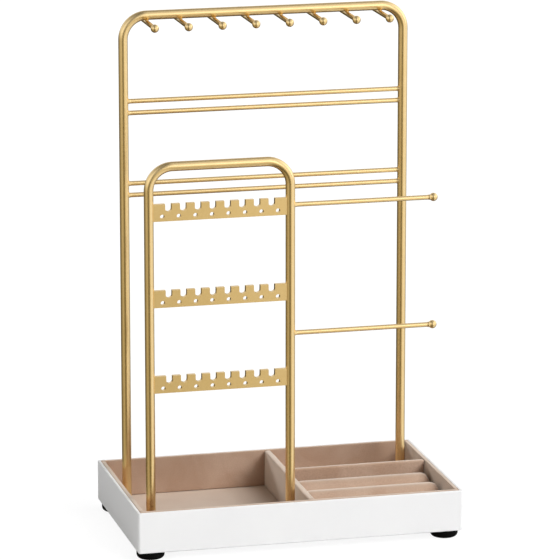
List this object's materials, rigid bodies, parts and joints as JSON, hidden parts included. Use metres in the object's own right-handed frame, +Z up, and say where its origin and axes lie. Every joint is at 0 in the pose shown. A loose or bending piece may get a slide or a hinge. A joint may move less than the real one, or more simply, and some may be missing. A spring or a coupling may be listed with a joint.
{
  "type": "jewelry stand",
  "caption": "Lined white tray on rubber feet with a tall and a low gold tube frame that carry hooks, cross rods, notched earring strips and bracelet bars, and a lift-out ring cushion.",
  "frame": {"origin": "on the table, under the middle of the tray", "axes": "+Z up, +X to the right of someone who faces the stand, +Y to the back; the front faces -Y"},
  "size_m": [0.28, 0.167, 0.4395],
  "materials": {
    "white_lacquer": "satin",
    "velvet": "matte",
    "fibreboard": "matte",
    "black_rubber": "matte",
    "gold_steel": "satin",
    "zinc_steel": "satin"
  },
  "bodies": {
    "stand": {"tray_front_wall": "white_lacquer", "tray_back_wall": "white_lacquer", "tray_left_wall": "white_lacquer", "tray_right_wall": "white_lacquer", "tray_bottom": "white_lacquer", "floor_lining": "velvet", "lining_front": "velvet", "lining_back": "velvet", "lining_left": "velvet", "lining_right": "velvet", "main_divider": "velvet", "cross_divider": "velvet", "foot_front_left": "black_rubber", "foot_front_right": "black_rubber", "foot_back_left": "black_rubber", "foot_back_right": "black_rubber", "tall_frame_tube": "gold_steel", "low_frame_tube": "gold_steel", "upper_rods_top": "gold_steel", "upper_rods_bottom": "gold_steel", "lower_rods_top": "gold_steel", "lower_rods_bottom": "gold_steel", "hook_rod_1": "gold_steel", "hook_rod_2": "gold_steel", "hook_rod_3": "gold_steel", "hook_rod_4": "gold_steel", "hook_rod_5": "gold_steel", "hook_rod_6": "gold_steel", "hook_rod_7": "gold_steel", "hook_rod_8": "gold_steel", "hook_balls_front": "gold_steel", "hook_balls_back": "gold_steel", "earring_strip_top": "gold_steel", "earring_strip_middle": "gold_steel", "earring_strip_bottom": "gold_steel", "bracelet_bar_upper": "gold_steel", "bracelet_bar_lower": "gold_steel", "bracelet_ball_upper": "gold_steel", "bracelet_ball_lower": "gold_steel", "tall_frame_plugs": "zinc_steel", "low_frame_plugs": "zinc_steel", "frame_washers": "zinc_steel", "frame_screws": "zinc_steel"},
    "ring_cushion": {"ring_cushion_board": "fibreboard", "ring_roll_back": "velvet", "ring_roll_middle": "velvet", "ring_roll_front": "velvet"}
  },
  "joints": [
    {"name": "ring_cushion_lift", "type": "slide", "parent": "stand", "child": "ring_cushion", "axis": [0, 0, 1], "range_m": [0, 0.045]}
  ]
}
